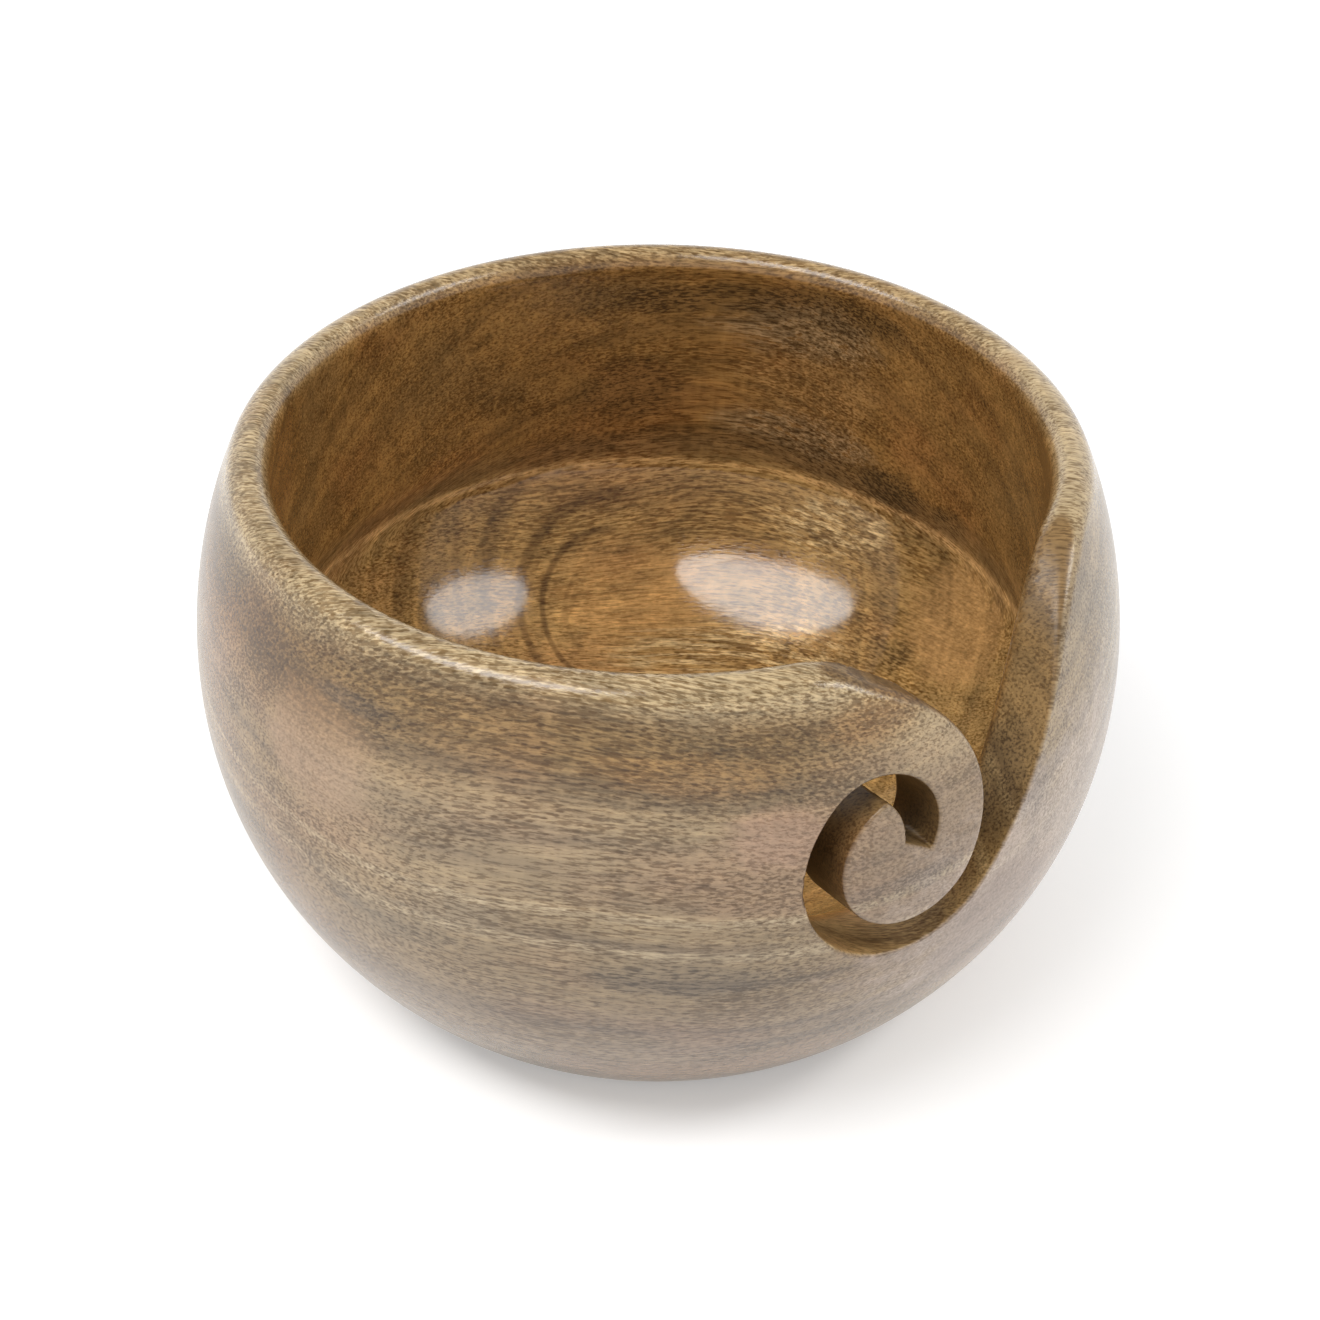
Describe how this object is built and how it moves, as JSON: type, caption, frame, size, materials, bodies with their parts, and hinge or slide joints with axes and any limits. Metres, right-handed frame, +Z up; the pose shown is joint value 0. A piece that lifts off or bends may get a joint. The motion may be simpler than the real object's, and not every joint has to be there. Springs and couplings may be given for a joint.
{
  "type": "yarn bowl",
  "caption": "Turned wooden bowl that holds a ball of yarn, with a scroll-shaped slot through its wall that guides the strand.",
  "frame": {"origin": "centre of the flat foot that the bowl rests on", "axes": "+Z up along the axis that the bowl was turned about; the scroll slot faces -Y"},
  "size_m": [0.15, 0.15, 0.0905],
  "materials": {
    "wood": "lacquered, glossy, with a sawn matte slot"
  },
  "bodies": {
    "root": {"bowl": "wood"}
  },
  "joints": []
}
